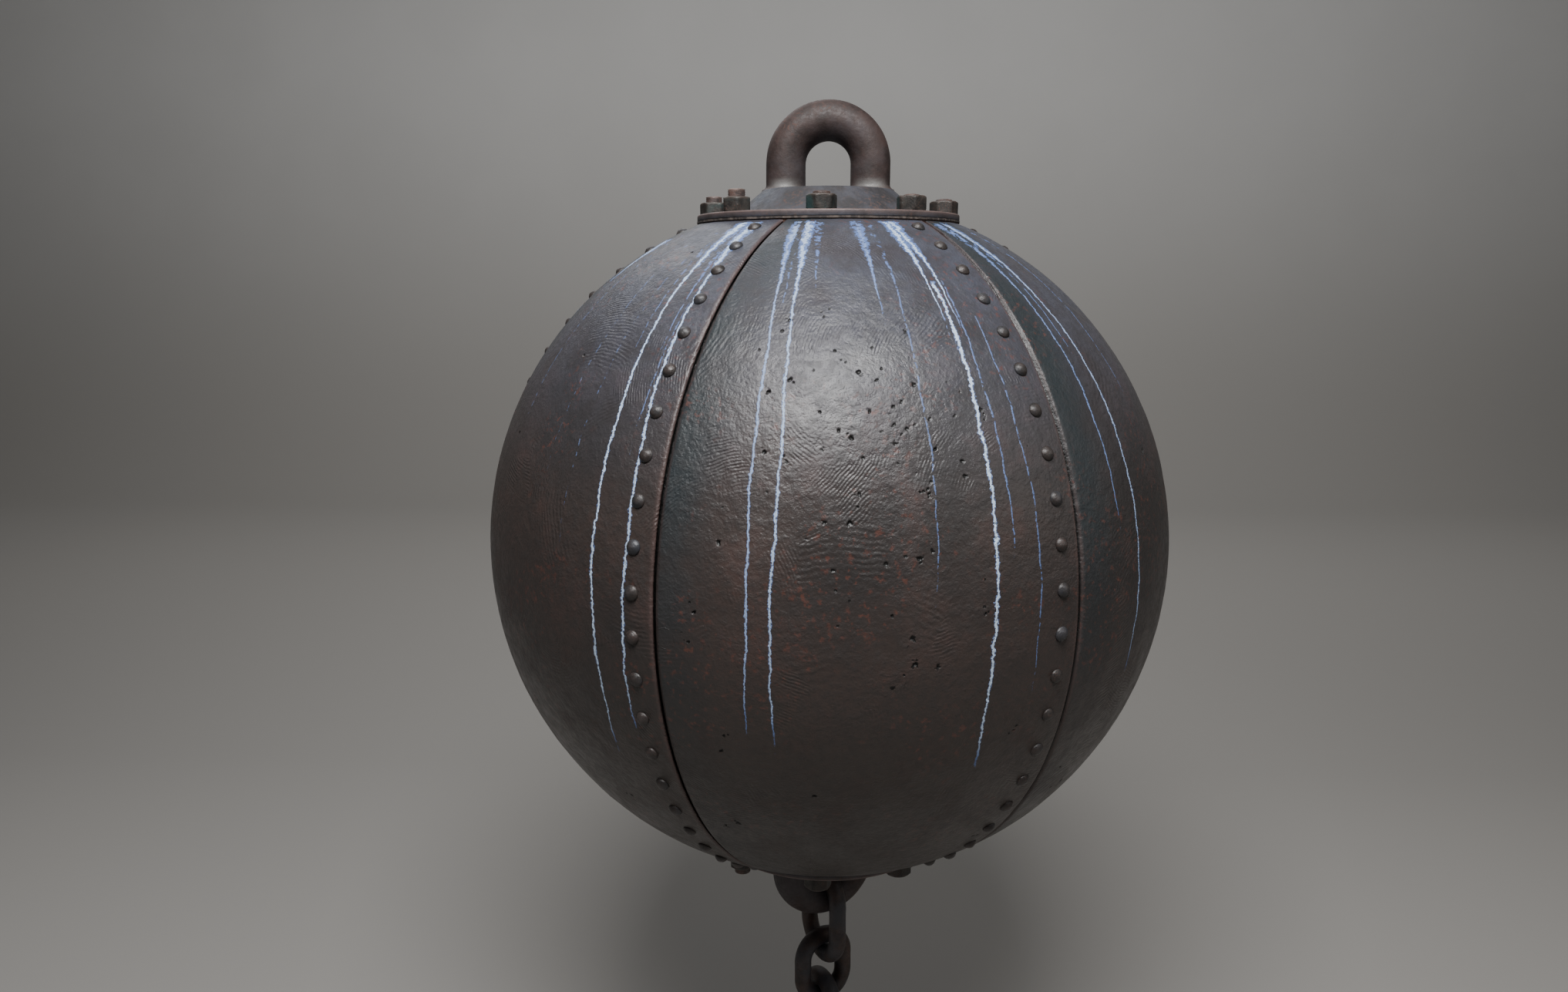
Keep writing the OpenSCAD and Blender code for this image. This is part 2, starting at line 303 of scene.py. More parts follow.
forgedLooks = {
    # the eye's pale grey is both its rubbed colour and a painted highlight on its feet
    "eyeForging": {"base": srgb(58, 44, 41), "dark": srgb(42, 32, 30), "wornAndSheen": srgb(122, 121, 119),
                   "rust": srgb(84, 58, 50), "cool": srgb(60, 56, 59), "roughness": 0.6, "grain": 34},
    "chainForging": {"base": srgb(64, 48, 42), "dark": srgb(38, 29, 26), "wornAndSheen": srgb(88, 93, 104),
                     "rust": srgb(78, 48, 38), "cool": srgb(52, 54, 61), "roughness": 0.5, "grain": 60},
    "coverCoating": {"base": srgb(60, 60, 66), "dark": srgb(46, 44, 46), "wornAndSheen": srgb(100, 82, 77),
                     "rust": srgb(82, 60, 52), "cool": srgb(62, 69, 81), "roughness": 0.6, "grain": 30},
    "nutPatina": {"base": srgb(52, 46, 42), "dark": srgb(28, 26, 24), "wornAndSheen": srgb(92, 78, 71),
                  "rust": srgb(82, 56, 46), "cool": srgb(42, 68, 68), "roughness": 0.54, "grain": 75},
    "studRust": {"base": srgb(90, 72, 67), "dark": srgb(48, 38, 35), "wornAndSheen": srgb(118, 100, 92),
                 "rust": srgb(104, 66, 50), "cool": srgb(70, 68, 70), "roughness": 0.58, "grain": 110},
    "rivetCoating": {"base": srgb(54, 47, 45), "dark": srgb(38, 35, 34), "wornAndSheen": srgb(74, 68, 66),
                     "rust": srgb(80, 58, 50), "cool": srgb(52, 55, 61), "roughness": 0.42, "grain": 90},
    "innerPrimer": {"base": srgb(92, 66, 56), "dark": srgb(66, 48, 42), "wornAndSheen": srgb(120, 100, 90),
                    "rust": srgb(112, 66, 46), "cool": srgb(84, 74, 70), "roughness": 0.62, "grain": 25},
}


def forgedIron(name):
    look = forgedLooks[name]
    material, tree, shader = startMaterial(name, metallic=0.1)
    where = placed(tree)
    wide = grain(tree, where, look["grain"] * 0.22, 5, 0.6)
    middle = grain(tree, where, look["grain"], 5, 0.6)
    fine = grain(tree, where, look["grain"] * 6, 4, 0.6)
    wornAndSheen = attribute(tree, "wornAndSheen").outputs["Fac"]
    colour = blendColour(tree, fade(tree, middle, 0.35, 0.65), look["dark"], look["base"])
    colour = blendColour(tree, fade(tree, wide, 0.5, 0.66, 0, 0.7), colour, look["cool"])
    speckle = calc(tree, "MULTIPLY", fade(tree, fine, 0.52, 0.66), fade(tree, wide, 0.52, 0.4))
    colour = blendColour(tree, calc(tree, "MULTIPLY", speckle, 0.6), colour, look["rust"])
    # paler where the vertex attribute is set: rubbed wear, and on the eyes' feet a painted highlight
    paleMark = calc(tree, "MULTIPLY", wornAndSheen, fade(tree, middle, 0.25, 0.6, 0.45, 1))
    colour = blendColour(tree, paleMark, colour, look["wornAndSheen"])
    tree.links.new(colour, shader.inputs["Base Color"])
    rough = fade(tree, fine, 0.3, 0.7, look["roughness"] - 0.06, look["roughness"] + 0.12)
    rough = calc(tree, "SUBTRACT", rough, calc(tree, "MULTIPLY", paleMark, 0.14))
    tree.links.new(rough, shader.inputs["Roughness"])
    bumpOf(tree, shader, (middle, 0.35, 0.003), (fine, 0.4, 0.0008))
    return material


def gasketRubber():
    material, tree, shader = startMaterial("gasketRubber")
    where = placed(tree)
    speckle = grain(tree, where, 140, 4)
    colour = blendColour(tree, fade(tree, speckle, 0.4, 0.65), srgb(48, 42, 40), srgb(92, 82, 76))
    tree.links.new(colour, shader.inputs["Base Color"])
    tree.links.new(fade(tree, speckle, 0.3, 0.7, 0.7, 0.9), shader.inputs["Roughness"])
    bumpOf(tree, shader, (speckle, 0.4, 0.0006))
    return material


def floorPaint():
    material, tree, shader = startMaterial("floorPaint")
    where = placed(tree)
    height = put(tree, "SeparateXYZ", {"Vector": where}).outputs["Z"]
    soft = grain(tree, where, 1.3, 3)
    colour = blendColour(tree, fade(tree, soft, 0.3, 0.7), srgb(192, 191, 189), srgb(195, 194, 192))
    colour = blendColour(tree, fade(tree, height, 1.6, -1.5), colour, srgb(152, 149, 145))   # darker floor
    tree.links.new(colour, shader.inputs["Base Color"])
    shader.inputs["Roughness"].default_value = 0.95
    return material


shellMaterial = shellCoating()
eyeMaterial = forgedIron("eyeForging")
chainMaterial = forgedIron("chainForging")
coverMaterial = forgedIron("coverCoating")
nutMaterial = forgedIron("nutPatina")
studMaterial = forgedIron("studRust")
rivetMaterial = forgedIron("rivetCoating")
innerMaterial = forgedIron("innerPrimer")
gasketMaterial = gasketRubber()
print("materials made")


shell = {
    "radius": shellRadius, "thickness": 0.008, "plates": 6, "firstSeam": 243.5,
    "holeRadius": 0.188, "edgeGap": 0.028, "groove": 0.005, "lapIn": 0.024, "tongueStop": 0.240,
    "columns": 114, "rows": 264, "edgeRound": 0.0035, "paleEdgeBand": 0.006,
    "patinaWidth": 0.085, "lipWidth": 0.002, "lipSink": 0.0008,
    "skin": 0.0011, "waves": ((4.5, 0.00055), (15, 0.00027), (46, 0.0002)),
}

# each run: bearing from the front, where it starts and ends in latitude, half width in mm, strength
runs = [
    (-78.5, 52, 38, 5.0, 0.9), (-70, 62, 47, 4.2, 0.85), (-61, 67, 20, 0.9, 0.3),
    (-46, 67, 15, 0.8, 0.25), (-40, 67, 4, 0.8, 0.25), (-36.5, 62, 33, 0.9, 0.35),
    (-33.6, 67, -23, 1.6, 0.95), (-30.4, 58, 34, 1.0, 0.4), (-28.1, 67, -19, 1.6, 0.85),
    (-29, 46, 20, 1.0, 0.35), (-10.4, 67, -17, 1.2, 0.66), (-6.7, 67, -18, 1.4, 0.76),
    (-8.6, 67, 40, 0.9, 0.32), (-2.6, 67, 45, 0.9, 0.42), (10.6, 67, 40, 1.1, 0.55),
    (14.2, 67, 2, 0.8, 0.36), (21.6, 67, 39, 1.2, 0.85), (22.8, 50, -23, 2.0, 1.0),
    (24.6, 67, 39, 1.2, 0.85), (25.7, 50, 3, 0.9, 0.4), (29.2, 44, -13, 0.8, 0.38),
    (46.8, 67, 8, 1.2, 0.52), (51.4, 67, -15, 1.5, 0.72), (49.0, 67, 30, 0.9, 0.36),
    (62, 67, 24, 0.9, 0.35), (84, 67, 10, 1.2, 0.5), (98, 67, 31, 0.9, 0.3),
    (117, 67, -12, 1.6, 0.75), (121, 67, 28, 0.9, 0.4), (142, 67, 6, 1.1, 0.5),
    (163, 67, -8, 1.4, 0.7), (176, 67, 33, 0.9, 0.35), (194, 67, -20, 1.6, 0.85),
    (199, 67, 22, 0.9, 0.45), (221, 67, 12, 1.0, 0.45), (243, 67, -4, 1.3, 0.6),
    (262, 67, 27, 0.9, 0.4),
]

pitField = {
    "each": 11, "front": 62, "frontBearing": 7, "frontLatitude": 20, "spread": (11, 14),
    "inGroup": (1, 1, 2, 3), "size": (0.0012, 0.0036), "depth": (0.45, 0.85), "cuts": 4,
    "ragged": 0.9, "raggedScale": 330, "shade": 2.2,
}


def relief(way):   # how far the hammered skin lies inside the true ball
    return shell["skin"] + sum(noise.noise(way * scale) * height for scale, height in shell["waves"])


def pitsOf(index):
    start = shell["firstSeam"] + index * 60
    places = []
    for _ in range(pitField["each"]):
        places.append((start + random.uniform(7, 60), random.triangular(-60, 60, 5)))
    if index == 0:
        for _ in range(pitField["front"]):
            bearing = 270 + random.gauss(pitField["frontBearing"], pitField["spread"][0])
            places.append((bearing, random.gauss(pitField["frontLatitude"], pitField["spread"][1])))
    pits = []
    for bearing, latitude in places:
        for _ in range(random.choice(pitField["inGroup"])):
            way = direction(bearing + random.gauss(0, 0.9), latitude + random.gauss(0, 0.6))
            size = random.uniform(*pitField["size"])
            depth = random.uniform(*pitField["depth"]) * size
            pits.append((way, size, depth, random.uniform(0, math.pi), random.uniform(0.45, 1)))
    return pits


def outerTree(bm):   # the vertices of the outer skin, for finding those near a pit
    tree = kdtree.KDTree(len(bm.verts))
    for i, vert in enumerate(bm.verts):
        if vert.co.length > shell["radius"] - shell["thickness"] / 2:
            tree.insert(vert.co, i)
    tree.balance()
    bm.verts.ensure_lookup_table()
    return tree


def carvePits(bm, layer, pits):
    tree = outerTree(bm)
    edges = set()
    for way, size, *_ in pits:
        for _, i, _ in tree.find_range(way * shell["radius"], size * 1.2 + 0.0035):
            edges.update(bm.verts[i].link_edges)
    bmesh.ops.subdivide_edges(bm, edges=list(edges), cuts=pitField["cuts"], use_grid_fill=True)
    tree = outerTree(bm)
    for way, size, depth, turn, squash in pits:
        side = way.cross(Vector((0, 0, 1))).normalized()
        upward = side.cross(way)
        for _, i, _ in tree.find_range(way * shell["radius"], size * 2):
            vert = bm.verts[i]
            away = vert.co - way * shell["radius"]
            x, y = away.dot(side), away.dot(upward)
            across = x * math.cos(turn) + y * math.sin(turn)
            along = y * math.cos(turn) - x * math.sin(turn)
            reach = math.hypot(across / squash, along) / size
            reach *= 1 + pitField["ragged"] * noise.noise(vert.co * pitField["raggedScale"])
            if reach < 1:
                bowl = (1 - reach * reach) ** 1.2
                vert.co -= vert.co.normalized() * depth * bowl
                # the pit floor takes the near-black colour: dark oxide with painted shade in the hollow
                vert[layer].y = max(vert[layer].y, min(1, bowl * pitField["shade"]))


def platePatch(bm, index):   # a grid shaped to one plate, its tongue in the first columns
    values = shell
    radius, inner = values["radius"], values["radius"] - values["thickness"] - 0.0001
    near = values["edgeGap"] + values["groove"]
    tongue = [-values["lapIn"], -0.006, 0.012, near - 0.002, near]
    edge = [0.009, 0.006, 0.0042, 0.003, 0.0019, 0.0009, 0.0003, 0.0]
    middle = values["columns"]
    count = len(tongue) + middle + len(edge)
    rows = values["rows"]
    top = math.acos(values["holeRadius"] / radius)
    marks = bm.verts.layers.float_vector.new("marks")
    made = bmesh.ops.create_grid(bm, x_segments=count - 1, y_segments=rows, size=1)
    turn = math.radians(values["firstSeam"] + index * 60)
    for vert in made["verts"]:
        column = round((vert.co.x + 1) / 2 * (count - 1))
        latitude = vert.co.y * top
        level = radius * math.cos(latitude)
        far = math.radians(360 / values["plates"]) + math.asin(values["edgeGap"] / level)
        first = math.asin(near / level)
        reach, lee, wornAndSheen, shade = radius, 0.0, 0.0, 0.0
        if column < len(tongue):
            reach = inner
            lon = math.asin(tongue[column] / level)
            # painted shadow: the tongue under the lap, seen as the groove floor, takes the near-black
            # colour in full
            shade = 1.0
        elif column < len(tongue) + middle:
            share = (column - len(tongue)) / middle
            lon = first + (far - 0.001 / level - edge[0] / level - first) * share
            fromGroove = (lon - first) * level
            lee = 1 - min(1, fromGroove / values["patinaWidth"])
            lip = max(0, 1 - fromGroove / values["lipWidth"])
            # the groove lip is painted paler: edge wear with a painted highlight
            wornAndSheen = lip * 0.55
            reach -= values["lipSink"] * lip
        else:
            gap = edge[column - len(tongue) - middle]
            lon = far - gap / level
            # the rounded far edge is painted paler: edge wear with a painted highlight
            wornAndSheen = min(0.9, max(0, 1.1 - gap / values["paleEdgeBand"]))
            under = max(0, 1 - gap / values["edgeRound"])
            reach -= values["edgeRound"] * (1 - math.sqrt(max(0, 1 - under * under)))
        way = Vector((math.cos(latitude) * math.cos(lon + turn),
                      math.cos(latitude) * math.sin(lon + turn), math.sin(latitude)))
        sink = relief(way) if column >= len(tongue) else 0
        vert.co = way * (reach - sink)
        vert[marks] = Vector((lee, shade, wornAndSheen))
        # the index carries the column, and a 1 in the rows near a pole
        vert.index = column * 1000 + (1 if abs(latitude) > math.acos(values["tongueStop"] / radius) else 0)
    # the tongue stops short of the seat rings
    stopped = [face for face in bm.faces
               if all(v.index % 1000 == 1 for v in face.verts)
               and min(v.index // 1000 for v in face.verts) < len(tongue)]
    bmesh.ops.delete(bm, geom=stopped, context="FACES")
    return marks


def markRuns(piece):   # each face takes the run nearest to it
    mesh = piece.data
    points = np.empty(len(mesh.vertices) * 3)
    mesh.vertices.foreach_get("co", points)
    points = points.reshape(-1, 3) - np.array(ballCentre)
    corners = np.empty(len(mesh.loops), int)
    mesh.loops.foreach_get("vertex_index", corners)
    totals = np.empty(len(mesh.polygons), int)
    mesh.polygons.foreach_get("loop_total", totals)
    faceOf = np.repeat(np.arange(len(totals)), totals)
    at = points[corners]
    lon = np.degrees(np.arctan2(at[:, 0], -at[:, 1]))
    lat = np.degrees(np.arcsin(np.clip(at[:, 2] / np.linalg.norm(at, axis=1), -1, 1)))
    level = np.hypot(at[:, 0], at[:, 1])
    noRun = 1e9
    nearest = np.full(len(totals), noRun)
    store = np.zeros((len(corners), 3))
    store[:, 0] = 40
    rng = np.random.default_rng(11)
    for bearing, start, end, half, strength in runs:
        phase = rng.uniform(0, math.tau, 4)
        sway = (3.2 * np.sin(lat * 0.055 + phase[0]) + 1.5 * np.sin(lat * 0.16 + phase[1])
                + 0.8 * np.sin(lat * 0.47 + phase[2]) + 0.45 * np.sin(lat * 1.1 + phase[3]))
        off = (lon - bearing + 180) % 360 - 180
        away = np.radians(off) * level - sway * mm * np.cos(np.radians(lat))
        washed = 1 + 2.0 * smoothStep(48, 66, lat)
        tapered = 0.55 + 0.45 * smoothStep(end, end + 22, lat)
        scaled = away / (half * mm * washed * tapered)
        power = strength * smoothStep(end - 2, end + 9, lat) * (1 - smoothStep(start - 1, start + 1, lat))
        faceAway = np.zeros(len(totals))
        np.add.at(faceAway, faceOf, np.abs(scaled) / totals[faceOf])
        facePower = np.zeros(len(totals))
        np.add.at(facePower, faceOf, power / totals[faceOf])
        faceAway = np.where(facePower > 0.01, faceAway, noRun)
        closer = faceAway < nearest
        nearest = np.where(closer, faceAway, nearest)
        take = closer[faceOf]
        store[take] = np.stack([scaled, lat, power], 1)[take]
    layer = mesh.attributes.new("run", "FLOAT_VECTOR", "CORNER")
    layer.data.foreach_set("vector", store.astype(np.float32).ravel())


def shellPlate(index):
    bm = bmesh.new()
    marks = platePatch(bm, index)
    bmesh.ops.solidify(bm, geom=bm.faces[:], thickness=shell["thickness"])
    bmesh.ops.recalc_face_normals(bm, faces=bm.faces)
    carvePits(bm, marks, pitsOf(index))
    bmesh.ops.translate(bm, vec=ballCentre, verts=bm.verts)
    piece = makePiece(f"shellPlate{index + 1}", bm, shellMaterial, "shell_iron", "buoy",
                      f"shell_plate_{index + 1}")
    markRuns(piece)
    return piece


for index in range(shell["plates"]):
    plate = shellPlate(index)
    if index == 0:
        print("plate triangles", sum(len(p.vertices) - 2 for p in plate.data.polygons))
print("shell plates made")


rivet = {
    "top": 64.8, "pitch": 6.1, "count": 22, "head": 0.00925, "height": 0.0066,
    "shank": 0.0055, "innerHead": 0.0082, "innerHeight": 0.005, "steps": 20,
    "spread": (0.93, 1.0), "squash": (0.68, 0.84), "dent": 0.0007, "wornShare": 0.55,
}


def rivetShape(bm, grow, squash):
    head, height = rivet["head"] * grow, rivet["height"] * squash
    dome = (head * head + height * height) / (2 * height)
    reach = math.degrees(math.asin(min(1, head / dome)))
    base, back = shell["radius"], shell["radius"] - 2 * shell["thickness"] - 0.0002
    profile = [(0, base + height)]
    profile += arc(0, base + height - dome, dome, 90 - reach * 0.2, 90 - reach, 6)
    profile += [(head * 1.02, base - 0.003), (rivet["shank"], base - 0.0035), (rivet["shank"], back)]
    profile += [(rivet["innerHead"], back), (rivet["innerHead"] * 0.8, back - rivet["innerHeight"] * 0.6),
                (0, back - rivet["innerHeight"])]
    lathe(bm, profile, rivet["steps"])


def rivetRow(index):
    bm = bmesh.new()
    bearing = shell["firstSeam"] + index * 60
    for i in range(rivet["count"]):
        one = bmesh.new()
        rivetShape(one, random.uniform(*rivet["spread"]), random.uniform(*rivet["squash"]))
        merge(one)
        way = direction(bearing, rivet["top"] - i * rivet["pitch"])
        turn = way.to_track_quat("Z", "Y").to_matrix().to_4x4()
        for vert in one.verts:
            if vert.co.z > shell["radius"]:
                dent = abs(noise.noise(vert.co * 160 + Vector((index, i, 0))))
                vert.co.x *= 1 - 0.05 * dent
                vert.co.y *= 1 - 0.05 * dent
                vert.co.z -= rivet["dent"] * dent
        addShape(bm, one, turn)
    wornAndSheen = bm.verts.layers.float.new("wornAndSheen")
    for vert in bm.verts:
        up = vert.co.length - shell["radius"]
        vert[wornAndSheen] = min(1, max(0, (up - 0.003) / 0.0035)) * rivet["wornShare"]
    bmesh.ops.translate(bm, vec=ballCentre, verts=bm.verts)
    makePiece(f"seamRivets{index + 1}", bm, rivetMaterial, "rivet_iron", "buoy", f"seam_rivets_{index + 1}")


for index in range(shell["plates"]):
    rivetRow(index)
print("rivets made")


cover = {
    "rim": 0.1898, "thickness": 0.009, "crown": 0.0985, "crownRise": 0.036, "foot": 0.137,
    "bend": 0.007, "edge": 0.0026, "steps": 144, "relief": 0.0007, "longest": 0.012,
}


def coverShape(lower):
    bm = bmesh.new()
    c = cover
    crown = crownHeight
    rim = crown - c["crownRise"]
    floor = rim - c["thickness"]
    profile = [(0, crown), (0.03, crown), (0.06, crown), (c["crown"] - c["bend"], crown)]
    profile += arc(c["crown"] - c["bend"], crown - c["bend"], c["bend"], 90, 45, 6)[1:]
    profile += arc(c["foot"] + c["bend"] * 0.5, rim + c["bend"], c["bend"], 225, 270, 6)
    profile += [(0.160, rim), (0.175, rim)]
    profile += arc(c["rim"] - c["edge"], rim - c["edge"], c["edge"], 90, 0, 5)
    profile += arc(c["rim"] - c["edge"] * 0.5, floor + c["edge"] * 0.5, c["edge"] * 0.5, 0, -90, 3)
    profile += [(0.150, floor), (c["foot"] - 0.004, floor), (c["crown"] - 0.004, crown - c["thickness"]),
                (0.05, crown - c["thickness"]), (0, crown - c["thickness"])]
    lathe(bm, profile, c["steps"])
    merge(bm)
    wide = [e for e in bm.edges if e.calc_length() > c["longest"]]   # room for the dents between them
    bmesh.ops.subdivide_edges(bm, edges=wide, cuts=2, use_grid_fill=True)
    wornAndSheen = bm.verts.layers.float.new("wornAndSheen")
    for vert in bm.verts:
        level = math.hypot(vert.co.x, vert.co.y)
        # edge wear and painted highlight: a pale pinkish line along the rim's top edge
        rimward = min(1, max(0, (level - c["rim"] + 0.0065) / 0.0045))
        ridge = max(0, 1 - abs(vert.co.z - rim + 0.0012) / 0.0028)
        vert[wornAndSheen] = 0.95 * rimward * ridge
        if vert.co.z > floor + 0.0005:
            vert.co.z -= c["relief"] * (0.5 + 0.5 * noise.noise(vert.co * 24)) * (level < c["rim"] - 0.004)
            shrink = 1 - 0.0016 * (0.5 + 0.5 * noise.noise(vert.co * 30)) * rimward
            vert.co.x *= shrink
            vert.co.y *= shrink
    atPole(bm, lower)
    name = "bottomCover" if lower else "topCover"
    makePiece(name, bm, coverMaterial, "cover_iron", "buoy", "bottom_cover" if lower else "top_cover")


coverShape(False)
coverShape(True)
print("covers made")


nut = {
    "acrossFlats": 0.036, "height": 0.020, "circle": 0.167, "first": -2.9, "count": 8,
    "steps": 60, "chamferSlope": 1.732, "well": 0.0012, "stud": 0.012, "threadPitch": 0.003,
    "rises": (3, 5, 8, 6, 9, 11, 4, 2), "sink": 0.0004, "turnEach": 47, "wornShare": 0.6,
    "studBelow": 0.0266, "threadLength": 0.034, "threadDepth": 0.0008, "studSteps": 32,
}


def hexRadius(angle, flat):
    part = (math.degrees(angle) % 60) - 30
    return flat / math.cos(math.radians(part))


def nutShape(bm, height, flat, bore, steps, seed):   # hexagon nut standing on z = 0
    face, slope, well = 0.96 * flat, nut["chamferSlope"], nut["well"]
    pointed = 0.1547   # how far a sharp corner stands past a flat, as a share of it
    levels = [0, 0.0006, 0.002, height * 0.5, height - 0.0045, height - 0.003, height - 0.0018,
              height - 0.0008, height]
    ring = bmesh.ops.create_circle(bm, segments=steps, radius=1)["verts"]
    edges = list({e for v in ring for e in v.link_edges})
    rings = [ring]
    for _ in levels[1:]:
        made = bmesh.ops.extrude_edge_only(bm, edges=edges)["geom"]
        ring = [g for g in made if isinstance(g, bmesh.types.BMVert)]
        edges = [g for g in made if isinstance(g, bmesh.types.BMEdge)]
        rings.append(ring)
    for level, ring in zip(levels, rings):
        for vert in ring:
            angle = math.atan2(vert.co.y, vert.co.x)
            chamfer = min(face + (height - level) * slope, face + 0.0012 + level * slope)
            reach = min(hexRadius(angle, flat), chamfer)
            corner = hexRadius(angle, flat) / flat - 1
            reach *= 1 - 0.012 * (corner / pointed) ** 2
            rough = noise.noise(Vector((math.cos(angle), math.sin(angle), level * 60 + seed)) * 2.3)
            reach *= 1 - 0.012 * abs(rough)
            vert.co = Vector((math.cos(angle) * reach, math.sin(angle) * reach, level))

    def ringAt(radius, level):
        def move(point):
            angle = math.atan2(point.y, point.x)
            return Vector((math.cos(angle) * radius, math.sin(angle) * radius, level))
        return move

    edges = extrudeRing(bm, edges, ringAt(bore + well, height))[1]
    edges = extrudeRing(bm, edges, ringAt(bore, height - well))[1]
    last = extrudeRing(bm, edges, ringAt(bore, 0))[1]
    first = [e for e in bm.edges if e.is_boundary and e not in last]
    bmesh.ops.bridge_loops(bm, edges=last + first)
    bmesh.ops.recalc_face_normals(bm, faces=bm.faces)


def studShape(bm, low, high, radius, pitch):
    profile = [(0, high), (radius * 0.55, high - 0.0002), (radius * 0.82, high - 0.001)]
    level = high - 0.0018
    while level > high - nut["threadLength"]:
        profile += [(radius, level), (radius - nut["threadDepth"], level - pitch / 2)]
        level -= pitch
    profile += [(radius, level), (radius, low), (0, low)]
    lathe(bm, profile, nut["studSteps"])
    merge(bm)


def coverFasteners(lower):
    nuts, studs = bmesh.new(), bmesh.new()
    rim = crownHeight - cover["crownRise"]
    studLow = rim - cover["thickness"] - nut["studBelow"]
    for i in range(nut["count"]):
        bearing = math.radians(nut["first"] + i * 360 / nut["count"])
        place = Matrix.Rotation(bearing, 4, "Z") @ Matrix.Translation((nut["circle"], 0, 0))
        one = bmesh.new()
        nutShape(one, nut["height"], nut["acrossFlats"] / 2, nut["stud"] + 0.0001, nut["steps"], i * 3.7)
        turn = Matrix.Rotation(math.radians(i * nut["turnEach"]), 4, "Z")
        addShape(nuts, one, place @ Matrix.Translation((0, 0, rim - nut["sink"])) @ turn)
        one = bmesh.new()
        high = rim + nut["height"] + nut["rises"][i] * mm
        studShape(one, studLow, high, nut["stud"], nut["threadPitch"])
        addShape(studs, one, place)
    for bm, height in ((nuts, rim + nut["height"]), (studs, rim + nut["height"] + 0.010)):
        wornAndSheen = bm.verts.layers.float.new("wornAndSheen")
        for vert in bm.verts:
            vert[wornAndSheen] = min(1, max(0, (vert.co.z - height + 0.005) / 0.006)) * nut["wornShare"]
        atPole(bm, lower)
    end = "bottom" if lower else "top"
    makePiece(end + "Nuts", nuts, nutMaterial, "nut_iron", "buoy", end + "_nuts")
    makePiece(end + "Studs", studs, studMaterial, "stud_iron", "buoy", end + "_studs")


coverFasteners(False)
coverFasteners(True)
print("nuts and studs made")


eye = {
    "bar": 0.029, "half": 0.061, "leg": 0.036, "foot": 0.007, "segments": 48, "bendSteps": 56,
    "legSteps": 10, "shank": 0.018, "shankLength": 0.056, "relief": 0.0006, "lowerTurn": 30,
    "seat": 0.0004, "footSteps": 8,
}


def eyeShape(lower):
    e = eye
    bm = bmesh.new()
    bend = crownHeight + e["leg"]
    circle = bmesh.ops.create_circle(bm, segments=e["segments"], radius=e["shank"])["verts"]
    for vert in circle:
        vert.co += Vector((e["half"], 0, crownHeight - e["shankLength"]))
    bmesh.ops.contextual_create(bm, geom=circle)
    edges = list({edge for v in circle for edge in v.link_edges})

    def ringTo(radius, height):
        def move(point):
            away = Vector((point.x - e["half"], point.y, 0)).normalized() * radius
            return Vector((e["half"] + away.x, away.y, height))
        return move

    verts, edges = extrudeRing(bm, edges, ringTo(e["shank"], crownHeight - 0.004))
    verts, edges = extrudeRing(bm, edges, ringTo(e["bar"] + e["foot"], crownHeight - 0.003))
    rise = e["foot"]
    for step in range(1, e["footSteps"] + 1):   # the flared foot, a quarter-round cove
        angle = math.radians(90 * step / e["footSteps"])
        radius = e["bar"] + rise * (1 - math.sin(angle))
        height = crownHeight + e["seat"] + rise * (1 - math.cos(angle))
        verts, edges = extrudeRing(bm, edges, ringTo(radius, height))
    start = crownHeight + e["seat"] + rise
    for step in range(1, e["legSteps"] + 1):
        height = start + (bend - start) * step / e["legSteps"]
        verts, edges = extrudeRing(bm, edges, ringTo(e["bar"], height))
    bmesh.ops.spin(bm, geom=edges + verts, cent=(0, 0, bend), axis=(0, -1, 0),
                   angle=math.pi / 2, steps=e["bendSteps"] // 2)
    half = bm.verts[:] + bm.edges[:] + bm.faces[:]
    bmesh.ops.mirror(bm, geom=half, matrix=Matrix.Identity(4), merge_dist=0.0001, axis="X")
    merge(bm, 0.00005)
    wornAndSheen = bm.verts.layers.float.new("wornAndSheen")
    for vert in bm.verts:
        side = math.copysign(e["half"], vert.co.x)
        if vert.co.z > bend:
            away = Vector((vert.co.x, 0, vert.co.z - bend))
            spine = away.normalized() * e["half"] + Vector((0, 0, bend))
        else:
            spine = Vector((side, 0, vert.co.z))
        out = vert.co - spine
        if vert.co.z > crownHeight - 0.001:
            hollow = 0.5 + 0.5 * noise.noise(vert.co * 17) + 0.35 * noise.noise(vert.co * 55)
            vert.co -= out.normalized() * e["relief"] * max(0, hollow)
        # painted highlight: the feet's sides facing front and back are painted pale as a glint; the crown's
        # inside is rubbed wear
        facing = (abs(out.y) / max(out.length, 0.001)) ** 3
        footGlint = max(0, 1 - abs(vert.co.z - crownHeight - 0.007) / 0.010) * facing
        paleMark = max(0, 1 - (vert.co - Vector((0, 0, bend + e["half"] - e["bar"]))).length / 0.026)
        vert[wornAndSheen] = max(0.85 * footGlint, 0.5 * paleMark)
    if lower:
        bmesh.ops.rotate(bm, verts=bm.verts, cent=(0, 0, 0),
                         matrix=Matrix.Rotation(math.radians(-e["lowerTurn"]), 3, "Z"))
        bmesh.ops.scale(bm, vec=(1, -1, 1), verts=bm.verts)
        bmesh.ops.reverse_faces(bm, faces=bm.faces)
    atPole(bm, lower)
    makePiece("mooringEye" if lower else "liftingEye", bm, eyeMaterial, "eye_iron", "buoy",
              "mooring_eye" if lower else "lifting_eye")


eyeShape(False)
eyeShape(True)
print("eyes made")


chain = {
    "bar": 0.014, "endWidth": 0.064, "endLength": 0.118, "width": 0.048, "length": 0.080,
    "links": 3, "segments": 32, "bendSteps": 28, "sideSteps": 8, "relief": 0.0007,
}


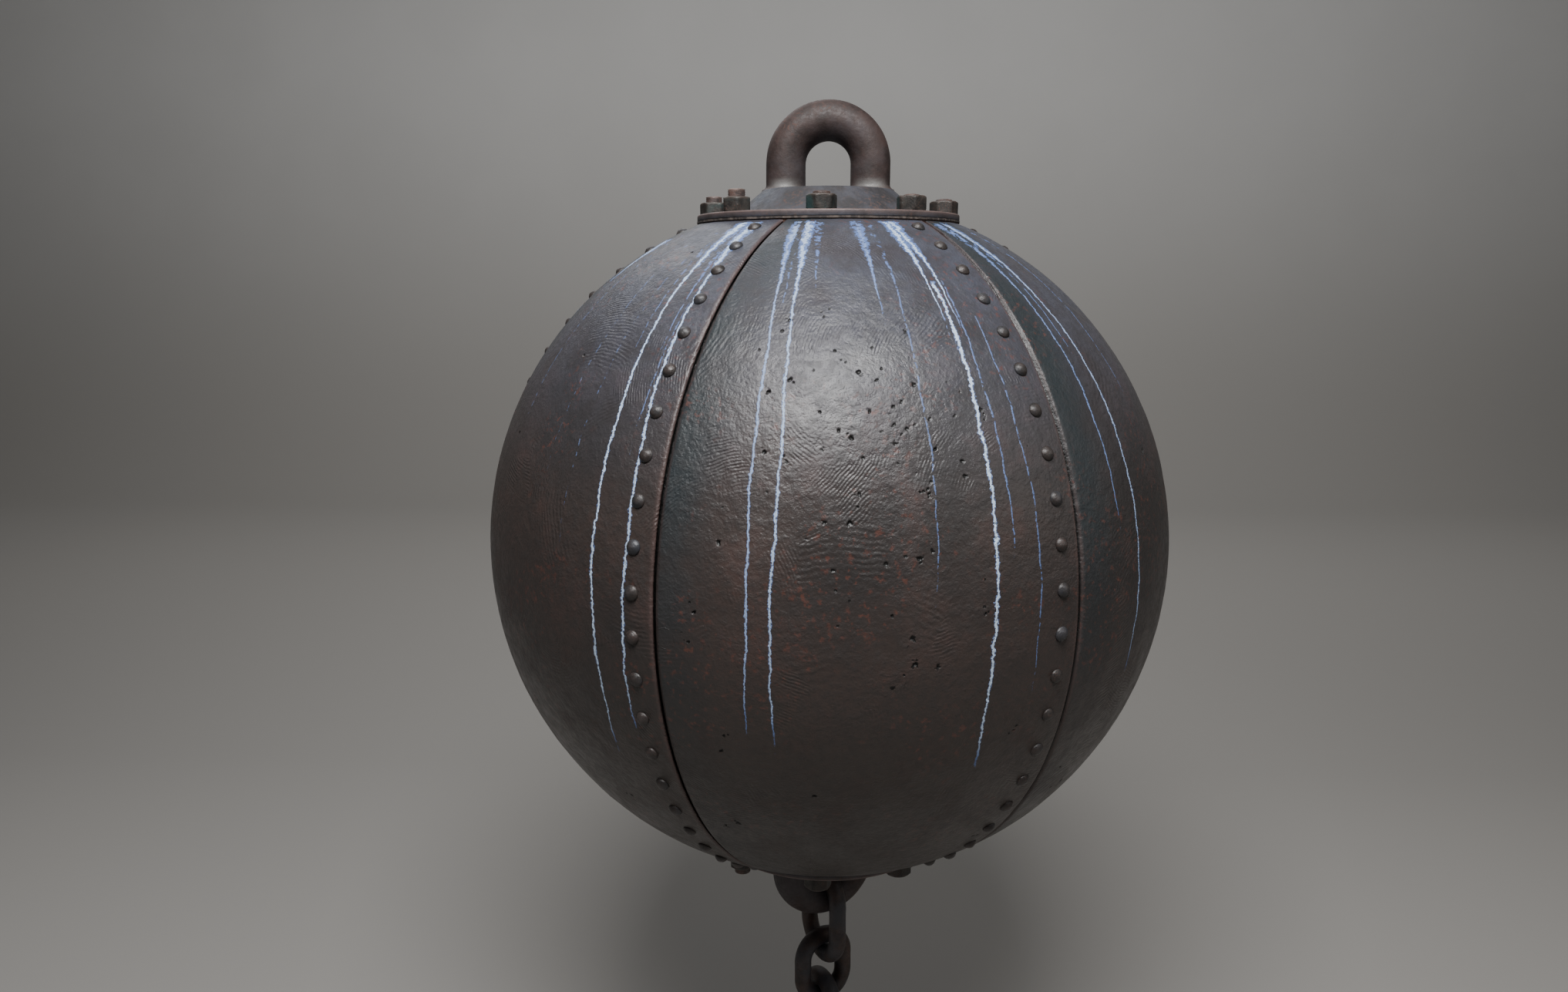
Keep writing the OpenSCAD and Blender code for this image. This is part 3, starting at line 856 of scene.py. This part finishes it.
def linkShape(name, node, width, length, topHeight, turn):
    c = chain
    half = width / 2 + c["bar"]
    run = length + 2 * c["bar"] - 2 * half
    bm = bmesh.new()
    circle = bmesh.ops.create_circle(bm, segments=c["segments"], radius=c["bar"])["verts"]
    for vert in circle:
        vert.co += Vector((half, 0, -half))
    edges = list({edge for v in circle for edge in v.link_edges})
    made = bmesh.ops.spin(bm, geom=circle + edges, cent=(0, 0, -half), axis=(0, -1, 0),
                          angle=math.pi, steps=c["bendSteps"])["geom_last"]
    edges = [g for g in made if isinstance(g, bmesh.types.BMEdge)]
    for _ in range(c["sideSteps"]):
        verts, edges = extrudeRing(bm, edges, lambda point: point - Vector((0, 0, run / c["sideSteps"])))
    made = bmesh.ops.spin(bm, geom=verts + edges, cent=(0, 0, -half - run), axis=(0, -1, 0),
                          angle=math.pi, steps=c["bendSteps"])["geom_last"]
    edges = [g for g in made if isinstance(g, bmesh.types.BMEdge)]
    for _ in range(c["sideSteps"]):
        verts, edges = extrudeRing(bm, edges, lambda point: point + Vector((0, 0, run / c["sideSteps"])))
    merge(bm, 0.0002)
    wornAndSheen = bm.verts.layers.float.new("wornAndSheen")
    shift = Vector((random.random() * 9, random.random() * 9, 0))
    for vert in bm.verts:
        level = min(max(vert.co.z, -half - run), -half)
        flat = Vector((vert.co.x, 0, vert.co.z - level))
        spine = flat.normalized() * half + Vector((0, 0, level))
        out = vert.co - spine
        hollow = 0.5 + 0.5 * noise.noise(vert.co * 38 + shift) + 0.3 * noise.noise(vert.co * 120 + shift)
        vert.co -= out.normalized() * c["relief"] * max(0, hollow)
        inside = -out.normalized().dot(flat.normalized())
        bearing = abs(flat.normalized().z)
        vert[wornAndSheen] = max(0, inside) * max(0, bearing - 0.5) * 1.6 + 0.35 * max(0, -inside - 0.6) * bearing
    bmesh.ops.rotate(bm, verts=bm.verts, cent=(0, 0, 0), matrix=Matrix.Rotation(math.radians(turn), 3, "Z"))
    bmesh.ops.translate(bm, vec=(0, 0, topHeight), verts=bm.verts)
    makePiece(name, bm, chainMaterial, "chain_iron", node, node)


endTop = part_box("end_link")[1].z - chain["bar"]
linkShape("endLink", "end_link", chain["endWidth"], chain["endLength"], endTop, 120)
for i in range(1, chain["links"] + 1):
    node = f"chain_link_{i}"
    linkShape(f"chainLink{i}", node, chain["width"], chain["length"],
              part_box(node)[1].z - chain["bar"], 120 + 90 * i)
print("chain made")


carried = {
    "seat_ring": innerMaterial, "gasket": gasketMaterial, "backing_plate": innerMaterial,
    "eye_nuts": innerMaterial,
}
for name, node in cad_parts.items():
    for ending, material in carried.items():
        if name.endswith(ending):
            node.data.materials.clear()
            node.data.materials.append(material)
print("inner parts coloured")


def around(bearing, elevation, distance):   # bearing from the front, towards +X
    return direction(bearing - 90, elevation) * distance


studio = {
    "floorDrop": 0.05, "width": 36.0, "front": -18.0, "back": 5.0, "curve": 2.5, "wall": 12.0,
    "world": 0.12,
}

# each light: where it stands from the ball's centre, its width and height, its power and colour
lights = {
    "key": (around(-2, 56, 2.6), (1.5, 1.1), 118, (1, 1, 1)),
    "fill": (around(60, 25, 3.4), (2.4, 2.4), 14, (1, 0.97, 0.93)),
    "back": (around(205, 46, 3.2), (2.2, 1.6), 24, (0.95, 0.97, 1)),
    "backdrop": ((0, 2.6, 2.8), (8, 0.8), 130, (1, 1, 1)),
}
backdropTilt = 72


def sweep():   # floor that curves up into a plain backdrop
    floorLevel = cadBounds[0][2] - studio["floorDrop"]
    bm = bmesh.new()
    left = [(studio["front"], floorLevel), (studio["back"], floorLevel)]
    left += [(studio["back"] + studio["curve"] * math.sin(math.radians(a)),
              floorLevel + studio["curve"] * (1 - math.cos(math.radians(a)))) for a in range(6, 91, 6)]
    left += [(studio["back"] + studio["curve"], floorLevel + studio["wall"])]
    verts = [bm.verts.new((-studio["width"] / 2, y, z)) for y, z in left]
    edges = [bm.edges.new(pair) for pair in zip(verts, verts[1:])]
    made = bmesh.ops.extrude_edge_only(bm, edges=edges)["geom"]
    moved = [g for g in made if isinstance(g, bmesh.types.BMVert)]
    bmesh.ops.translate(bm, vec=(studio["width"], 0, 0), verts=moved)
    bmesh.ops.recalc_face_normals(bm, faces=bm.faces)
    mesh = bpy.data.meshes.new("floor")
    bm.to_mesh(mesh)
    bm.free()
    mesh.materials.append(floorPaint())
    mesh.shade_smooth()
    floor = bpy.data.objects.new("floor", mesh)
    bpy.context.scene.collection.objects.link(floor)


def softLight(name, place, size, power, colour):
    data = bpy.data.lights.new(name, "AREA")
    data.shape = "RECTANGLE"
    data.size, data.size_y = size
    data.energy = power
    data.color = colour
    light = bpy.data.objects.new(name, data)
    light.location = ballCentre + Vector(place)
    light.rotation_euler = (-Vector(place)).to_track_quat("-Z", "Y").to_euler()
    bpy.context.scene.collection.objects.link(light)


sweep()
for name, (place, size, power, colour) in lights.items():
    softLight(name, place, size, power, colour)
bpy.data.objects["backdrop"].rotation_euler = (math.radians(backdropTilt), 0, 0)
world = bpy.data.worlds.new("studio")
world.use_nodes = True
world.node_tree.nodes["Background"].inputs["Color"].default_value = (1, 1, 1, 1)
world.node_tree.nodes["Background"].inputs["Strength"].default_value = studio["world"]
bpy.context.scene.world = world

view = {"distance": 1.70, "elevation": 13.186, "tilt": 78.777, "roll": 0.055, "pan": 2.213, "lens": 25.31}
cameraData = bpy.data.cameras.new("camera")
cameraData.lens = view["lens"]
cameraData.sensor_width = 36
cameraData.clip_end = 60
camera = bpy.data.objects.new("camera", cameraData)
camera.location = ballCentre + around(0, view["elevation"], view["distance"])
camera.rotation_euler = [math.radians(view[turn]) for turn in ("tilt", "roll", "pan")]
bpy.context.scene.collection.objects.link(camera)
bpy.context.scene.camera = camera
print("light and camera set")
